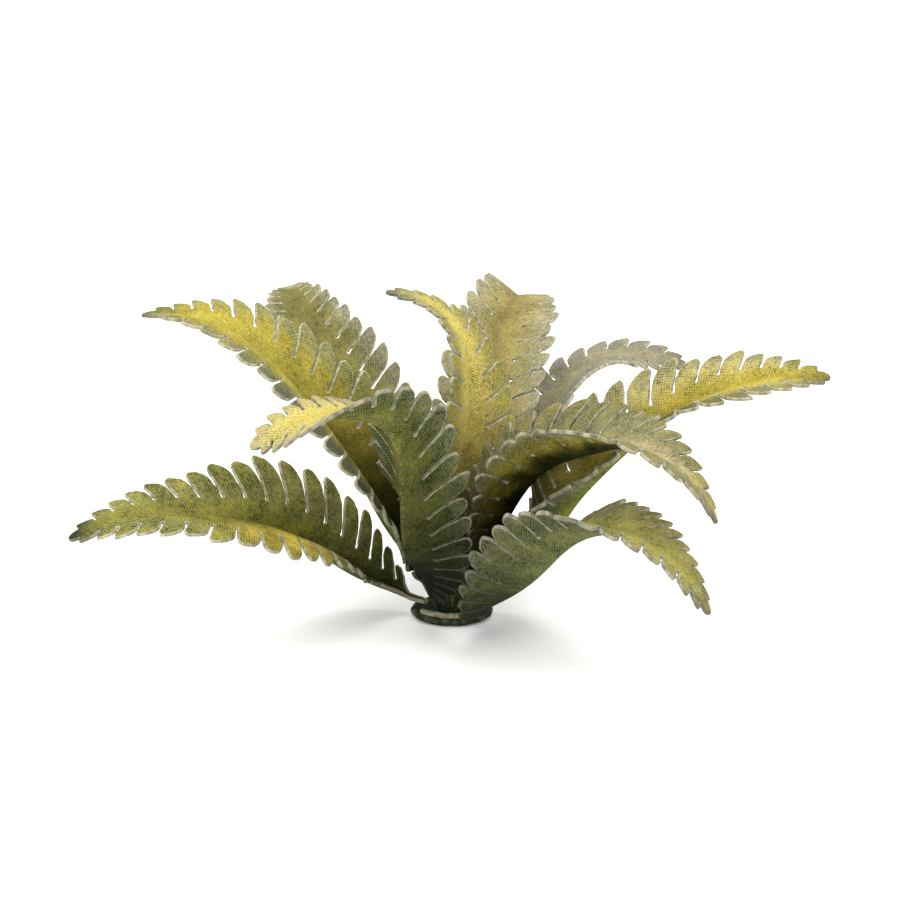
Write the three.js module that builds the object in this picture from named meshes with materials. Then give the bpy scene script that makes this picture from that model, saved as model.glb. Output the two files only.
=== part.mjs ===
// A small card model of a deer fern: ten fronds cut from printed card, folded along the midrib,
// bent to shape and standing on one round foot.
// Millimetres, +Z up. The origin is the middle of the foot's underside, and the front is at -Y.
import * as THREE from "three";

// Foot
const FOOT_RADIUS = 4.2;
const FOOT_HEIGHT = 0.9;
const FOOT_SOLE_RADIUS = 3.6;
const FOOT_TOP_RADIUS = 3.9;
const FOOT_SIDES = 40;
const FOOT_BULGE_STEPS = 4;
const FOOT_COLOUR = 0x1d1f12;
const SEAT_GAP = 0.3;

// Card
const CARD_THICKNESS = 0.6;
const STALK_HALF_WIDTH = 0.6;
const STALK_SHARE = 0.05;

// Leaflets
const PITCH_SWELL = 0.18;
const SLIT_WIDTH = 0.25;
const WEB_SHARE = 0.42;
const TIP_WEB_SHARE = 0.62;
const TIP_WEB_START = 0.6;
const LEAFLET_LEAN = 0.5;
const LEAFLET_APEX = 0.35;
const LEAFLET_NEAR_ROUND = 2;
const LEAFLET_FAR_ROUND = 8;
const NEAR_SIDE_CURVE = 0.6;
const FAR_SIDE_CURVE = 0.5;
const NEAR_SIDE_PLACES = [0.5, 0.82, 0.98];
const FAR_SIDE_PLACES = [0.97, 0.8];
const TAIL_LENGTH = 1.2;
const TAIL_SHOULDER = 0.6;
const TAIL_SHOULDER_SHARE = 0.8;

// Blade outline and section
const WIDEST_PLACE = 0.62;
const BLADE_FULLNESS = 0.85;
const CUP_RELAXING = 0.3;
const MIDRIB_STEPS = 60;

// Fronds. Each has its number of leaflets down one half. Each row of angles, in degrees, runs in even
// steps from the foot to the tip: the midrib's rise above level, its bearing from +X towards +Y, the
// roll about it, and how far the fold lifts each half.
const FRONDS = [
  {
    name: "frond_low_left",
    colour: 0x8c8b36,
    foot: [-3, -1.5],
    length: 44,
    halfWidth: 7,
    leaflets: 18,
    rise: [-9, 38, 22, 10, -29],
    bearing: [125, 205, 230, 205, 180],
    roll: [20, 40, 50, 25, 20],
    cup: [75, 45, -5],
  },
  {
    name: "frond_high_left",
    colour: 0xc4b445,
    foot: [-1.5, 0.5],
    length: 49,
    halfWidth: 6.6,
    leaflets: 21,
    rise: [59, 51, 54, 42, -9],
    bearing: [160, 240, 220, 195, 160],
    roll: [25, 75, 70, 45, 0],
    cup: [40, 55, 15],
  },
  {
    name: "frond_back_left",
    colour: 0x7f8440,
    foot: [-2, 3],
    length: 46,
    halfWidth: 6.2,
    leaflets: 21,
    rise: [52, 51, 30, -10],
    bearing: [110, 135, 120, 90],
    roll: [-25, 10, 20, 15],
    cup: [50, 30, 15],
  },
  {
    name: "frond_front",
    colour: 0x7b8045,
    foot: [-1.5, -2],
    length: 47,
    halfWidth: 7,
    leaflets: 22,
    rise: [55, 29, 76, 18, -41],
    bearing: [245, 260, 265, 215, 150],
    roll: [70, 55, 15, -20, 65],
    cup: [30, 70, 60, -15],
  },
  {
    name: "frond_crown",
    colour: 0xc0b34a,
    foot: [0.5, 0],
    length: 37,
    halfWidth: 5.6,
    leaflets: 16,
    rise: [65, 98, 83, 4],
    bearing: [70, 100, 145, 190],
    roll: [-15, -5, 0, 5],
    cup: [45, 35, -5],
  },
  {
    name: "frond_back",
    colour: 0xb0a550,
    foot: [0, 2],
    length: 49,
    halfWidth: 6.2,
    leaflets: 22,
    rise: [58, 64, 16, -55],
    bearing: [60, 75, 75, 120],
    roll: [-10, -15, -25, -5],
    cup: [45, 35, 20],
  },
  {
    name: "frond_back_right",
    colour: 0x8d8c58,
    foot: [2, 2.5],
    length: 43,
    halfWidth: 6,
    leaflets: 19,
    rise: [33, 41, 27, -22],
    bearing: [80, 55, 50, -20],
    roll: [40, 15, 15, -40],
    cup: [40, 35, -10],
  },
  {
    name: "frond_right",
    colour: 0xc2b348,
    foot: [3, 0.5],
    length: 49,
    halfWidth: 6.8,
    leaflets: 21,
    rise: [25, 50, 47, 28, -8],
    bearing: [-5, -70, -15, -20, 20],
    roll: [0, -45, -40, -30, -25],
    cup: [65, 70, 15],
  },
  {
    name: "frond_front_right",
    colour: 0x827a48,
    foot: [0.5, -2],
    length: 51,
    halfWidth: 6.4,
    leaflets: 20,
    rise: [63, 53, 24, 12, -68],
    bearing: [350, 305, 300, 300, 350],
    roll: [-25, -60, -20, -5, 0],
    cup: [70, 70, 5],
  },
  {
    name: "frond_low_right",
    colour: 0x757a4a,
    foot: [2, -3],
    length: 46,
    halfWidth: 7.2,
    leaflets: 20,
    rise: [20, 31, 36, 4, -70],
    bearing: [295, 295, 295, 315, 335],
    roll: [-40, -20, 0, 5, 0],
    cup: [0, 50, -20],
  },
];

/** The value at share s of a row of evenly spaced values, on the smooth curve through them. */
function along(row, s) {
  const points = row.map((value, i) => new THREE.Vector2(i, value));
  return new THREE.SplineCurve(points).getPoint(s).y;
}

/** Half the blade's width at share s of the frond: a narrow stalk, then a long leaf shape. */
function halfWidthAt(frond, s) {
  const blade = THREE.MathUtils.clamp((s - STALK_SHARE) / (1 - STALK_SHARE), 0, 1);
  const swell = Math.sin(Math.PI * blade ** WIDEST_PLACE) ** BLADE_FULLNESS;
  return STALK_HALF_WIDTH + (frond.halfWidth - STALK_HALF_WIDTH) * swell;
}

/** The direction of the midrib, its side and the way its fold opens, at share s. */
function axesAt(frond, s) {
  const rise = THREE.MathUtils.degToRad(along(frond.rise, s));
  const bearing = THREE.MathUtils.degToRad(along(frond.bearing, s));
  const roll = THREE.MathUtils.degToRad(along(frond.roll, s));
  const level = Math.cos(rise);
  const forward = new THREE.Vector3(level * Math.cos(bearing), level * Math.sin(bearing), Math.sin(rise));
  const side = new THREE.Vector3(Math.sin(bearing), -Math.cos(bearing), 0);
  side.applyAxisAngle(forward, -roll);
  const up = new THREE.Vector3().crossVectors(side, forward);
  return { forward, side, up };
}

/** The midrib's stations from the foot to the tip, each with its place and axes. */
function midribOf(frond) {
  const step = frond.length / MIDRIB_STEPS;
  const place = new THREE.Vector3(frond.foot[0], frond.foot[1], 0);
  const stations = [{ place: place.clone(), ...axesAt(frond, 0) }];
  for (let i = 1; i <= MIDRIB_STEPS; i++) {
    const axes = axesAt(frond, i / MIDRIB_STEPS);
    const heading = axes.forward.clone().add(stations[i - 1].forward);
    place.addScaledVector(heading, step / 2);
    stations.push({ place: place.clone(), ...axes });
  }
  return stations;
}

/**
 * A function that bends a point of the flat card, u along and v across, and lifts it off the card.
 * On the fold itself the lift is longer, as at a mitre, so that both halves keep their thickness.
 */
function bendingOf(frond) {
  const stations = midribOf(frond);
  return (u, v, lift) => {
    const s = THREE.MathUtils.clamp(u / frond.length, 0, 1);
    const i = Math.min(Math.floor(s * MIDRIB_STEPS), MIDRIB_STEPS - 1);
    const part = s * MIDRIB_STEPS - i;
    const from = stations[i];
    const to = stations[i + 1];
    const side = from.side.clone().lerp(to.side, part).normalize();
    const up = from.up.clone().lerp(to.up, part).normalize();
    const cup = THREE.MathUtils.degToRad(along(frond.cup, s));
    const reach = Math.abs(v);
    const lean = cup * (1 - (CUP_RELAXING * reach) / halfWidthAt(frond, s));
    const rise = v === 0 ? lift / Math.cos(cup) : lift * Math.cos(lean);
    const shift = -Math.sign(v) * lift * Math.sin(lean);
    return from.place
      .clone()
      .lerp(to.place, part)
      .addScaledVector(side, v * Math.cos(lean) + shift)
      .addScaledVector(up, reach * Math.sin(lean) + rise);
  };
}

/** How far out from the midrib the card is uncut, at share s. The cuts are shallower towards the tip. */
function webAt(frond, s) {
  const nearTip = THREE.MathUtils.smoothstep(s, TIP_WEB_START, 1);
  return halfWidthAt(frond, s) * THREE.MathUtils.lerp(WEB_SHARE, TIP_WEB_SHARE, nearTip);
}

/** Where slit i lies along the frond: closer together near the foot and the tip. */
function slitPlace(frond, i) {
  const share = i / frond.leaflets;
  const even = share - (PITCH_SWELL * Math.sin(2 * Math.PI * share)) / (2 * Math.PI);
  const start = STALK_SHARE * frond.length;
  const end = frond.length - TAIL_LENGTH;
  return start + (end - start) * even;
}

/**
 * The end of the leaflet between two slits.
 * Its side nearer the foot curves over to an apex close to its far side.
 */
function leafletEnd(frond, from, to) {
  const middle = (from + to) / 2;
  const half = (to - from - SLIT_WIDTH) / 2;
  const width = halfWidthAt(frond, middle / frond.length);
  const web = webAt(frond, middle / frond.length);
  const fall = (t, round, curve) => (1 - t ** round) ** curve;
  const nearSide = (t) => LEAFLET_APEX - (1 + LEAFLET_APEX) * fall(t, LEAFLET_NEAR_ROUND, NEAR_SIDE_CURVE);
  const farSide = (t) => LEAFLET_APEX + (1 - LEAFLET_APEX) * fall(t, LEAFLET_FAR_ROUND, FAR_SIDE_CURVE);
  const point = (t, across) => {
    const out = (width - web) * t;
    return new THREE.Vector2(middle + half * across + LEAFLET_LEAN * out, web + out);
  };
  const near = NEAR_SIDE_PLACES.map((t) => point(t, nearSide(t)));
  const far = FAR_SIDE_PLACES.map((t) => point(t, farSide(t)));
  return [...near, ...far];
}

/** One half of the flat card: its triangles, and its margin from the foot to the tip. */
function halfCard(frond) {
  const start = slitPlace(frond, 0);
  const foot = new THREE.Vector2(0, 0);
  const corner = new THREE.Vector2(0, STALK_HALF_WIDTH);
  let rib = new THREE.Vector2(start, 0);
  let root = new THREE.Vector2(start, STALK_HALF_WIDTH);
  const faces = [
    [foot, rib, root],
    [foot, root, corner],
  ];
  const margin = [foot, corner, root];
  for (let i = 0; i < frond.leaflets; i++) {
    const from = slitPlace(frond, i);
    const to = slitPlace(frond, i + 1);
    const web = webAt(frond, to / frond.length);
    const nextRib = new THREE.Vector2(to, 0);
    const slitNear = new THREE.Vector2(to - SLIT_WIDTH / 2, web);
    const slitFar = new THREE.Vector2(to + SLIT_WIDTH / 2, web);
    const leaflet = [...leafletEnd(frond, from, to), slitNear];
    for (let k = 1; k < leaflet.length; k++) {
      faces.push([root, leaflet[k], leaflet[k - 1]]);
    }
    faces.push([rib, nextRib, slitNear], [rib, slitNear, root], [nextRib, slitFar, slitNear]);
    margin.push(...leaflet, slitFar);
    rib = nextRib;
    root = slitFar;
  }
  const tip = new THREE.Vector2(frond.length, 0);
  const tailPlace = THREE.MathUtils.lerp(root.x, frond.length, TAIL_SHOULDER);
  const tailShoulder = new THREE.Vector2(tailPlace, root.y * TAIL_SHOULDER_SHARE);
  faces.push([rib, tip, root], [root, tip, tailShoulder]);
  margin.push(tailShoulder, tip);
  return { faces, margin };
}

/** The bent card as one closed solid, with the same triangles on both faces. */
function frondGeometry(frond) {
  const { faces, margin } = halfCard(frond);
  const bend = bendingOf(frond);
  const half = CARD_THICKNESS / 2;
  const corners = [];
  for (const hand of [1, -1]) {
    const upper = (p) => bend(p.x, hand * p.y, half);
    const under = (p) => bend(p.x, hand * p.y, -half);
    const add = (a, b, c) => corners.push(...(hand > 0 ? [a, b, c] : [a, c, b]));
    for (const [a, b, c] of faces) {
      add(upper(a), upper(c), upper(b));
      add(under(a), under(b), under(c));
    }
    for (let i = 1; i < margin.length; i++) {
      const a = margin[i - 1];
      const b = margin[i];
      add(upper(b), upper(a), under(a));
      add(upper(b), under(a), under(b));
    }
  }
  return new THREE.BufferGeometry().setFromPoints(corners);
}

/** How far the frond's cut foot end reaches below its middle. */
function footDrop(frond) {
  const bend = bendingOf(frond);
  const heights = [-1, 0, 1].map((hand) => bend(0, hand * STALK_HALF_WIDTH, -CARD_THICKNESS / 2).z);
  return -Math.min(...heights);
}

/** A frond as a named mesh, its foot end just clear of the foot's top. */
function makeFrond(frond) {
  const card = new THREE.MeshStandardMaterial({ color: frond.colour, roughness: 0.9, metalness: 0 });
  const mesh = new THREE.Mesh(frondGeometry(frond), card);
  mesh.geometry.computeVertexNormals();
  mesh.name = frond.name;
  mesh.position.z = FOOT_HEIGHT + SEAT_GAP + footDrop(frond);
  return mesh;
}

/** The round foot: a flat sole, a side that bulges out to the full radius half way up, and a flat top. */
function makeFoot() {
  const pull = 2 * FOOT_RADIUS - (FOOT_SOLE_RADIUS + FOOT_TOP_RADIUS) / 2;
  const side = new THREE.QuadraticBezierCurve(
    new THREE.Vector2(FOOT_SOLE_RADIUS, 0),
    new THREE.Vector2(pull, FOOT_HEIGHT / 2),
    new THREE.Vector2(FOOT_TOP_RADIUS, FOOT_HEIGHT),
  );
  const middleBelow = new THREE.Vector2(0, 0);
  const middleAbove = new THREE.Vector2(0, FOOT_HEIGHT);
  const profile = [middleBelow, ...side.getPoints(FOOT_BULGE_STEPS), middleAbove];
  const turned = new THREE.LatheGeometry(profile, FOOT_SIDES);
  turned.rotateX(Math.PI / 2);
  const dark = new THREE.MeshStandardMaterial({ color: FOOT_COLOUR, roughness: 0.85, metalness: 0 });
  const mesh = new THREE.Mesh(turned, dark);
  mesh.name = "foot_disc";
  return mesh;
}

const fern = new THREE.Group();
fern.add(makeFoot());
for (const frond of FRONDS) {
  fern.add(makeFrond(frond));
}

export default fern;
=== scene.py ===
"""Looks for a small card model of a deer fern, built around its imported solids.

Ten fronds are cut from printed card, folded along the midrib, bent and glued to a round foot.
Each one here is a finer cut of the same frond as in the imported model: thinner card, round leaflets,
pale cut edges and the print on both sides. A strip of bare card lies round the front of the foot.
Lengths are in millimetres until a mesh is made, and angles are in degrees.
"""

import logging
import math
from dataclasses import dataclass, field
from enum import Enum

import bpy
import numpy as np
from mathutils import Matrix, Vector
from mathutils.geometry import delaunay_2d_cdt


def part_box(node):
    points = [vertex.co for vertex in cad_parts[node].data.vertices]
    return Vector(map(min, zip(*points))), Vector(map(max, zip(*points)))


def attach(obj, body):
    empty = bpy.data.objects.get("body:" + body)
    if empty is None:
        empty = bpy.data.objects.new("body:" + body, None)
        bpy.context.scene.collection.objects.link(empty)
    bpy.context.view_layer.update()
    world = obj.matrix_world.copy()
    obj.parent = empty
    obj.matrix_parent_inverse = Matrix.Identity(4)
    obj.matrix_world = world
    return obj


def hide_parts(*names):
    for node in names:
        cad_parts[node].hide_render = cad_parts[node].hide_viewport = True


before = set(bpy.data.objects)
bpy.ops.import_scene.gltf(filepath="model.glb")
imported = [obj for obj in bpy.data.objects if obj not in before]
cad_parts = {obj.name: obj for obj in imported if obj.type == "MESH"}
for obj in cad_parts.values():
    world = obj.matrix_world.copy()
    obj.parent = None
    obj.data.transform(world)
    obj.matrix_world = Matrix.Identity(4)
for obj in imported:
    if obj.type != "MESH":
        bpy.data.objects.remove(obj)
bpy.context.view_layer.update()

LOG = logging.getLogger("fern")
MM = 0.001
MM_PLACE = "card_mm"
SHARE_PLACE = "card_share"
CREASE = 27

Socket = bpy.types.NodeSocket
Number = float | Socket
Paint = tuple[float, float, float, float]


class Side(Enum):
    """The surfaces of a piece of card, in the order of their material slots."""

    UPPER = 0
    UNDER = 1
    CUT = 2


class Slot(Enum):
    """Names of the card's material slots."""

    FOOT = "foot"
    GREEN = "green_card"
    YELLOW = "yellow_card"


def paint(code: str) -> Paint:
    """Gives the linear colour of an sRGB hex code.

    Args:
        code: Six hex digits.

    Returns:
        Red, green, blue and full alpha.
    """
    shares = [int(code[i : i + 2], 16) / 255 for i in (0, 2, 4)]
    red, green, blue = ((c / 12.92) if c <= 0.04045 else ((c + 0.055) / 1.055) ** 2.4 for c in shares)
    return (red, green, blue, 1.0)


def smooth(value: np.ndarray, low: float, high: float) -> np.ndarray:
    """Rises smoothly from 0 at low to 1 at high.

    Args:
        value: The numbers to map.
        low: Where the rise starts.
        high: Where the rise ends.

    Returns:
        An array from 0 to 1.
    """
    share = np.clip((value - low) / (high - low), 0.0, 1.0)
    return share * share * (3.0 - 2.0 * share)


def along(row: tuple[float, ...], share: np.ndarray) -> np.ndarray:
    """Reads a row of evenly spaced values on the smooth curve through them.

    Args:
        row: The values, from the foot to the tip.
        share: Places from 0 to 1.

    Returns:
        The value at each place.
    """
    values = np.array(row, float)
    last = len(values) - 1
    place = np.clip(share, 0.0, 1.0) * last
    i = np.minimum(np.floor(place).astype(int), last - 1)
    w = place - i
    before, here = values[np.maximum(i - 1, 0)], values[i]
    there, after = values[np.minimum(i + 1, last)], values[np.minimum(i + 2, last)]
    slope_here, slope_there = (there - before) / 2, (after - here) / 2
    cubic = (2 * here - 2 * there + slope_here + slope_there) * w**3
    square = (3 * there - 3 * here - 2 * slope_here - slope_there) * w**2
    return cubic + square + slope_here * w + here


def unit(rows: np.ndarray) -> np.ndarray:
    """Scales each row of a table of vectors to length 1."""
    return rows / np.linalg.norm(rows, axis=1, keepdims=True)


class Bench:
    """Lays the nodes of one material."""

    def __init__(self, name: str) -> None:
        """Starts an empty material.

        Args:
            name: The material's name.
        """
        self.material = bpy.data.materials.new(name)
        self.material.use_nodes = True
        self.tree = self.material.node_tree
        self.shader = self.tree.nodes["Principled BSDF"]

    def node(self, kind: str, inputs: dict[int | str, object], **settings: object) -> bpy.types.Node:
        """Adds a node.

        Args:
            kind: The node's type without its ShaderNode prefix.
            inputs: What each input gets, a socket to link or a value to set.
            **settings: The node's own settings.

        Returns:
            The node.
        """
        made = self.tree.nodes.new("ShaderNode" + kind)
        for key, value in settings.items():
            setattr(made, key, value)
        for key, value in inputs.items():
            if isinstance(value, Socket):
                self.tree.links.new(value, made.inputs[key])
            else:
                made.inputs[key].default_value = value
        return made

    def maths(self, operation: str, a: Number, b: Number = 0.0) -> Socket:
        """Adds a sum, product or other operation on two numbers.

        Args:
            operation: The operation's name in Blender.
            a: The first number.
            b: The second number.

        Returns:
            The result.
        """
        return self.node("Math", {0: a, 1: b}, operation=operation).outputs[0]

    def rise(self, value: Number, low: float, high: float) -> Socket:
        """Maps a number to a smooth rise from 0 at low to 1 at high.

        Args:
            value: The number.
            low: Where the rise starts.
            high: Where the rise ends.

        Returns:
            The share, from 0 to 1.
        """
        inputs = {0: value, 1: low, 2: high}
        return self.node("MapRange", inputs, interpolation_type="SMOOTHSTEP").outputs[0]

    def hump(self, value: Number, middle: float, half: float) -> Socket:
        """Maps a number to a smooth hump.

        Args:
            value: The number.
            middle: Where the hump is 1.
            half: How far from there it reaches 0.

        Returns:
            The share, from 0 to 1.
        """
        off = self.maths("ABSOLUTE", self.maths("SUBTRACT", value, middle))
        return self.rise(off, half, 0.0)

    def blend(self, share: Number, a: Paint | Socket, b: Paint | Socket, way: str = "MIX") -> Socket:
        """Blends two colours.

        Args:
            share: How much of the second colour there is.
            a: The first colour.
            b: The second colour.
            way: The blend's name in Blender.

        Returns:
            The blended colour.
        """
        made = self.node("Mix", {0: share, 6: a, 7: b}, data_type="RGBA", blend_type=way)
        return made.outputs[2]

    def shade(self, colour: Socket, strength: Number) -> Socket:
        """Makes a colour lighter or darker.

        Args:
            colour: The colour.
            strength: What it is multiplied by.

        Returns:
            The new colour.
        """
        inputs = {0: colour, "Scale": strength}
        return self.node("VectorMath", inputs, operation="SCALE").outputs[0]

    def noise(self, place: Socket, scale: float, detail: float = 2.0) -> Socket:
        """Adds a soft random pattern, about 0.5 on average.

        Args:
            place: Where each point is, in millimetres.
            scale: Features per millimetre.
            detail: How many finer layers it has.

        Returns:
            The pattern.
        """
        inputs = {"Vector": place, "Scale": scale, "Detail": detail}
        return self.node("TexNoise", inputs).outputs[0]

    def read(self, name: str) -> Socket:
        """Reads a vector that the mesh stores at its points."""
        return self.node("Attribute", {}, attribute_name=name).outputs["Vector"]

    def parts(self, vector: Socket) -> tuple[Socket, Socket, Socket]:
        """Splits a vector into its three numbers, in order."""
        split = self.node("SeparateXYZ", {0: vector}).outputs
        return split[0], split[1], split[2]

    def bump(self, height: Socket, depth: float, strength: float) -> Socket:
        """Turns a height pattern into surface relief.

        Args:
            height: The pattern, from 0 to 1.
            depth: How deep it is, in millimetres.
            strength: How much of it shows.

        Returns:
            The normal for the shader.
        """
        inputs = {"Strength": strength, "Distance": depth * MM, "Height": height}
        return self.node("Bump", inputs).outputs[0]

    def coat(self, colour: Socket, roughness: Number, normal: Socket, gloss: float) -> bpy.types.Material:
        """Joins what was laid to the shader.

        Args:
            colour: The surface's colour.
            roughness: Its roughness.
            normal: Its relief.
            gloss: Its specular level.

        Returns:
            The finished material.
        """
        self.tree.links.new(colour, self.shader.inputs["Base Color"])
        self.tree.links.new(normal, self.shader.inputs["Normal"])
        if isinstance(roughness, Socket):
            self.tree.links.new(roughness, self.shader.inputs["Roughness"])
        else:
            self.shader.inputs["Roughness"].default_value = roughness
        self.shader.inputs["Specular IOR Level"].default_value = gloss
        return self.material


@dataclass(frozen=True)
class Patch:
    """A place on the print with another colour.

    Attributes:
        colour: The patch's colour.
        along: Its middle and half length, as shares of the frond.
        across: Its middle and half width, as shares of the half blade, negative on the second half.
        strength: How much of it shows.
    """

    colour: str
    along: tuple[float, float]
    across: tuple[float, float]
    strength: float = 0.8


@dataclass(frozen=True)
class CardPrint:
    """The colours printed on one side of a frond.

    Attributes:
        rib: Along the midrib.
        blade: Between midrib and margin.
        margin: At the leaflets' ends.
        base: Near the foot.
        tip: Near the tip.
        rib_share: How far out from the midrib its colour reaches, as a share of the half blade.
        base_share: How far up the frond the base colour and its painted shade reach, as a share of its
            length.
        tip_share: Where the tip's colour starts, as a share of the frond's length.
        mottle: How strongly the blots of darker green and lighter yellow show.
        ink: How strongly the print's screen shows.
        patches: Places with another colour.
        screen_pitch: The spacing of the screen's dots.
        screen_turn: The screen's turn on the card.
        screen_swim: How far the screen's rows wander.
        screen_wear: How unevenly its dots are printed.
        deep: What the colour is multiplied by in the green blots.
        light: The same in the yellow ones.
        cloud: Clouds per millimetre in the broad colours.
        large_blots: Large blots per millimetre.
        small_blots: Small blots per millimetre.
        large_share: How much of the blots' pattern is large ones.
        grain: Grains of uneven ink per millimetre.
        fibre: Card fibres per millimetre.
    """

    rib: str
    blade: str
    margin: str
    base: str = "262b12"
    tip: str = "5d5c2c"
    rib_share: float = 0.3
    base_share: float = 0.35
    tip_share: float = 0.88
    mottle: float = 0.75
    ink: float = 0.9
    patches: tuple[Patch, ...] = ()
    screen_pitch: float = 0.35
    screen_turn: float = 17.0
    screen_swim: float = 5.0
    screen_wear: float = 3.4
    deep: Paint = (0.38, 0.5, 0.38, 1.0)
    light: Paint = (1.36, 1.42, 1.0, 1.0)
    cloud: float = 0.4
    large_blots: float = 0.36
    small_blots: float = 1.25
    large_share: float = 0.62
    grain: float = 3.6
    fibre: float = 9.0

    def screen(self, bench: Bench, place: Socket) -> Socket:
        """Lays the print's screen: fine dots that grow, shrink and run into each other.

        Args:
            bench: The material's bench.
            place: The point on the flat card, in millimetres.

        Returns:
            The share of ink, from 0 between the dots to 1 on them.
        """
        scale = 2 * math.pi / self.screen_pitch
        turn = (0, 0, math.radians(self.screen_turn))
        inputs = {"Vector": place, "Rotation": turn, "Scale": (scale,) * 3}
        x, y, _ = bench.parts(bench.node("Mapping", inputs).outputs[0])
        swim = bench.maths("MULTIPLY", bench.noise(place, 0.9, 1.0), self.screen_swim)
        x, y = bench.maths("ADD", x, swim), bench.maths("SUBTRACT", y, swim)
        waves = bench.maths("MULTIPLY", bench.maths("COSINE", x), bench.maths("COSINE", y))
        uneven = bench.maths("SUBTRACT", bench.noise(place, 2.7, 2.0), 0.5)
        worn = bench.maths("ADD", waves, bench.maths("MULTIPLY", uneven, self.screen_wear))
        return bench.rise(worn, -0.3, 0.6)

    def paints(self, bench: Bench, place: Socket) -> Socket:
        """Lays the print's broad colours.

        Args:
            bench: The material's bench.
            place: The point on the flat card, in millimetres.

        Returns:
            The colour before it is mottled.
        """
        share, across, _ = bench.parts(bench.read(SHARE_PLACE))
        cloud = bench.maths("SUBTRACT", bench.noise(place, self.cloud, 3.0), 0.5)
        out = bench.maths("ADD", bench.maths("ABSOLUTE", across), bench.maths("MULTIPLY", cloud, 0.6))
        up = bench.maths("ADD", share, bench.maths("MULTIPLY", cloud, 0.15))
        off_rib = bench.rise(out, self.rib_share * 0.3, self.rib_share * 1.8)
        colour = bench.blend(off_rib, paint(self.rib), paint(self.blade))
        colour = bench.blend(bench.rise(out, 0.55, 1.0), colour, paint(self.margin))
        for patch in self.patches:
            lengthways, sideways = bench.hump(up, *patch.along), bench.hump(across, *patch.across)
            spot = bench.maths("MULTIPLY", lengthways, sideways)
            shown = bench.maths("MULTIPLY", spot, patch.strength)
            colour = bench.blend(shown, colour, paint(patch.colour))
        # Near the foot the colour turns to the base colour: dark print with painted shade in it.
        near_foot_print_and_shade = bench.rise(up, self.base_share, self.base_share * 0.2)
        colour = bench.blend(near_foot_print_and_shade, colour, paint(self.base))
        return bench.blend(bench.rise(up, self.tip_share, 1.0), colour, paint(self.tip))

    def material(self, name: str) -> bpy.types.Material:
        """Makes the printed card's material.

        Args:
            name: The material's name.

        Returns:
            The material.
        """
        bench = Bench(name)
        place = bench.read(MM_PLACE)
        colour = self.paints(bench, place)
        large = bench.maths("MULTIPLY", bench.noise(place, self.large_blots, 2.0), self.large_share)
        small = bench.maths("MULTIPLY", bench.noise(place, self.small_blots, 4.0), 1 - self.large_share)
        blot = bench.maths("ADD", large, small)
        green = bench.rise(blot, 0.45, 0.66)
        greened = bench.maths("MULTIPLY", green, self.mottle)
        colour = bench.blend(greened, colour, self.deep, "MULTIPLY")
        yellow = bench.maths("MULTIPLY", bench.rise(blot, 0.5, 0.38), self.mottle)
        colour = bench.blend(yellow, colour, self.light, "MULTIPLY")
        grain = bench.noise(place, self.grain, 3.0)
        colour = bench.shade(colour, bench.maths("ADD", 0.4, bench.maths("MULTIPLY", grain, 1.2)))
        dots = self.screen(bench, place)
        inked = bench.maths("ADD", 0.35, bench.maths("MULTIPLY", green, 0.65))
        depth = bench.maths("MULTIPLY", inked, self.ink)
        ink = bench.maths("MULTIPLY", bench.maths("SUBTRACT", 0.45, dots), depth)
        colour = bench.shade(colour, bench.maths("ADD", 1.0, bench.maths("MULTIPLY", ink, 1.9)))
        fibre = bench.noise(place, self.fibre, 3.0)
        height = bench.maths("ADD", bench.maths("MULTIPLY", dots, 0.35), fibre)
        roughness = bench.maths("ADD", 0.66, bench.maths("MULTIPLY", fibre, 0.2))
        return bench.coat(colour, roughness, bench.bump(height, 0.03, 0.5), 0.04)


@dataclass(frozen=True)
class CutEdge:
    """The bare card that shows along every cut.

    Attributes:
        pale: The card's own colour.
        grey: Where the cutter has marked it.
        scorch: At the tip, where it is burnt.
        shadow: Towards the foot, painted shade where the fronds crowd over the cut edges.
        shadow_share: How far up the frond that starts.
    """

    pale: str = "a5a186"
    grey: str = "75745c"
    scorch: str = "5d594b"
    shadow: str = "4c4d38"
    shadow_share: float = 0.5

    def material(self, name: str) -> bpy.types.Material:
        """Makes the cut edge's material.

        Args:
            name: The material's name.

        Returns:
            The material.
        """
        bench = Bench(name)
        place = bench.read(MM_PLACE)
        share, _, _ = bench.parts(bench.read(SHARE_PLACE))
        marks = bench.noise(place, 1.6, 4.0)
        fibre = bench.noise(place, 11.0, 2.0)
        colour = bench.blend(bench.rise(marks, 0.38, 0.66), paint(self.pale), paint(self.grey))
        colour = bench.blend(bench.rise(share, 0.9, 1.0), colour, paint(self.scorch))
        # Painted shade: the edge turns to the shadow colour towards the foot.
        shade = bench.rise(share, self.shadow_share, self.shadow_share * 0.2)
        colour = bench.blend(shade, colour, paint(self.shadow))
        tone = bench.maths("ADD", 0.82, bench.maths("MULTIPLY", fibre, 0.36))
        return bench.coat(bench.shade(colour, tone), 0.85, bench.bump(fibre, 0.04, 0.6), 0.2)


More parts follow.
